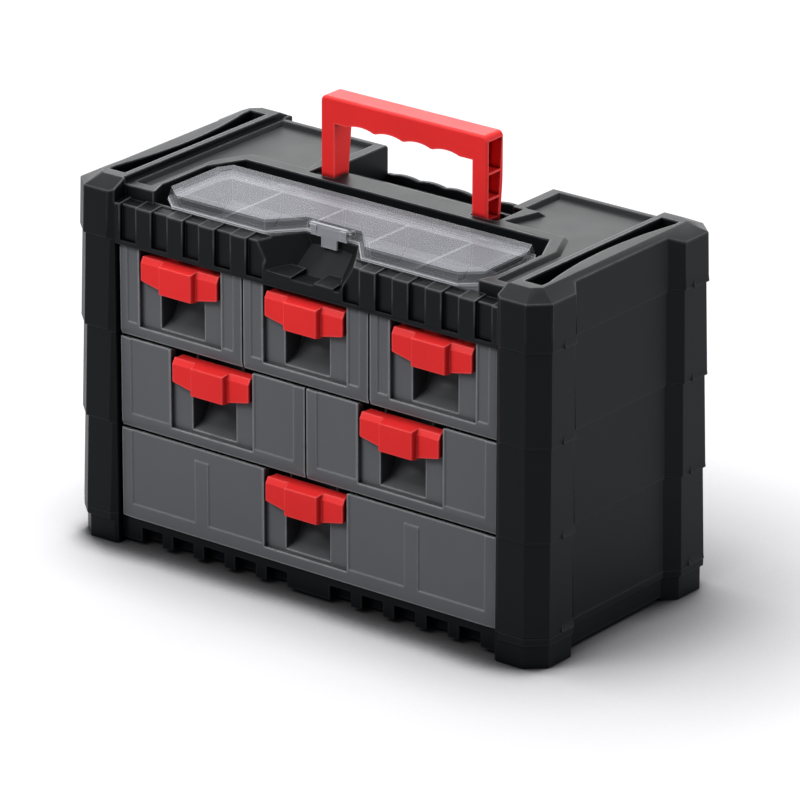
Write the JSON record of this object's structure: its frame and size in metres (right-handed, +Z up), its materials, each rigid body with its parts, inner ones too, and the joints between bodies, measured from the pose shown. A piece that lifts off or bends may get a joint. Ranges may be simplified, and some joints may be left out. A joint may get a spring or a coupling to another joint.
{
  "type": "portable tool box with drawers",
  "caption": "Carry-by-handle plastic tool box: stacked drawer rows with red pulls over finger pockets, a lidded lift-out parts organiser and a fold-down handle in the top.",
  "frame": {"origin": "bottom centre of the bounding box: centre of the footprint, on the surface the feet stand on", "axes": "+X to the right of someone facing the drawers, -Y the front the drawers open to, +Z up"},
  "size_m": [0.4026, 0.198, 0.3154],
  "materials": {
    "black_plastic": "finely textured moulded plastic, near black",
    "drawer_plastic": "smooth moulded grey plastic, slightly translucent",
    "red_plastic": "satin moulded red plastic",
    "tub_plastic": "milky translucent plastic",
    "clear_plastic": "frosted translucent plastic",
    "pin_steel": "plain steel wire"
  },
  "bodies": {
    "cabinet": {"base_frame": "black_plastic", "lower_module": "black_plastic", "middle_module": "black_plastic", "upper_module": "black_plastic", "top_housing": "black_plastic", "handle_pins": "black_plastic"},
    "lower_drawer_1": {"lower_drawer_1_tray": "drawer_plastic", "lower_drawer_1_pull": "red_plastic", "lower_divider_1": "drawer_plastic", "lower_divider_2": "drawer_plastic"},
    "middle_drawer_1": {"middle_drawer_1_tray": "drawer_plastic", "middle_drawer_1_pull": "red_plastic"},
    "middle_drawer_2": {"middle_drawer_2_tray": "drawer_plastic", "middle_drawer_2_pull": "red_plastic"},
    "upper_drawer_1": {"upper_drawer_1_tray": "drawer_plastic", "upper_drawer_1_pull": "red_plastic"},
    "upper_drawer_2": {"upper_drawer_2_tray": "drawer_plastic", "upper_drawer_2_pull": "red_plastic"},
    "upper_drawer_3": {"upper_drawer_3_tray": "drawer_plastic", "upper_drawer_3_pull": "red_plastic"},
    "handle": {"carry_handle": "red_plastic"},
    "organiser": {"organiser_tub": "tub_plastic", "lid_hinge_pins": "pin_steel"},
    "lid": {"organiser_lid": "clear_plastic", "latch_pin": "pin_steel"},
    "latch": {"lid_latch": "clear_plastic"}
  },
  "joints": [
    {"name": "lower_drawer_1_slide", "type": "slide", "parent": "cabinet", "child": "lower_drawer_1", "axis": [0, -1, 0], "range_m": [0, 0.15]},
    {"name": "middle_drawer_1_slide", "type": "slide", "parent": "cabinet", "child": "middle_drawer_1", "axis": [0, -1, 0], "range_m": [0, 0.15]},
    {"name": "middle_drawer_2_slide", "type": "slide", "parent": "cabinet", "child": "middle_drawer_2", "axis": [0, -1, 0], "range_m": [0, 0.15]},
    {"name": "upper_drawer_1_slide", "type": "slide", "parent": "cabinet", "child": "upper_drawer_1", "axis": [0, -1, 0], "range_m": [0, 0.15]},
    {"name": "upper_drawer_2_slide", "type": "slide", "parent": "cabinet", "child": "upper_drawer_2", "axis": [0, -1, 0], "range_m": [0, 0.15]},
    {"name": "upper_drawer_3_slide", "type": "slide", "parent": "cabinet", "child": "upper_drawer_3", "axis": [0, -1, 0], "range_m": [0, 0.15]},
    {"name": "handle_fold", "type": "hinge", "parent": "cabinet", "child": "handle", "pos_m": [0, 0.02, 0.249], "axis": [-1, 0, 0], "range_deg": [0, 68]},
    {"name": "organiser_lift", "type": "slide", "parent": "cabinet", "child": "organiser", "axis": [0, 0, 1], "range_m": [0, 0.06]},
    {"name": "lid_hinge", "type": "hinge", "parent": "organiser", "child": "lid", "pos_m": [0, -0.0066, 0.2512], "axis": [-1, 0, 0], "range_deg": [0, 95]},
    {"name": "latch_hinge", "type": "hinge", "parent": "lid", "child": "latch", "pos_m": [0, -0.0656, 0.2566], "axis": [-1, 0, 0], "range_deg": [0, 70]}
  ]
}
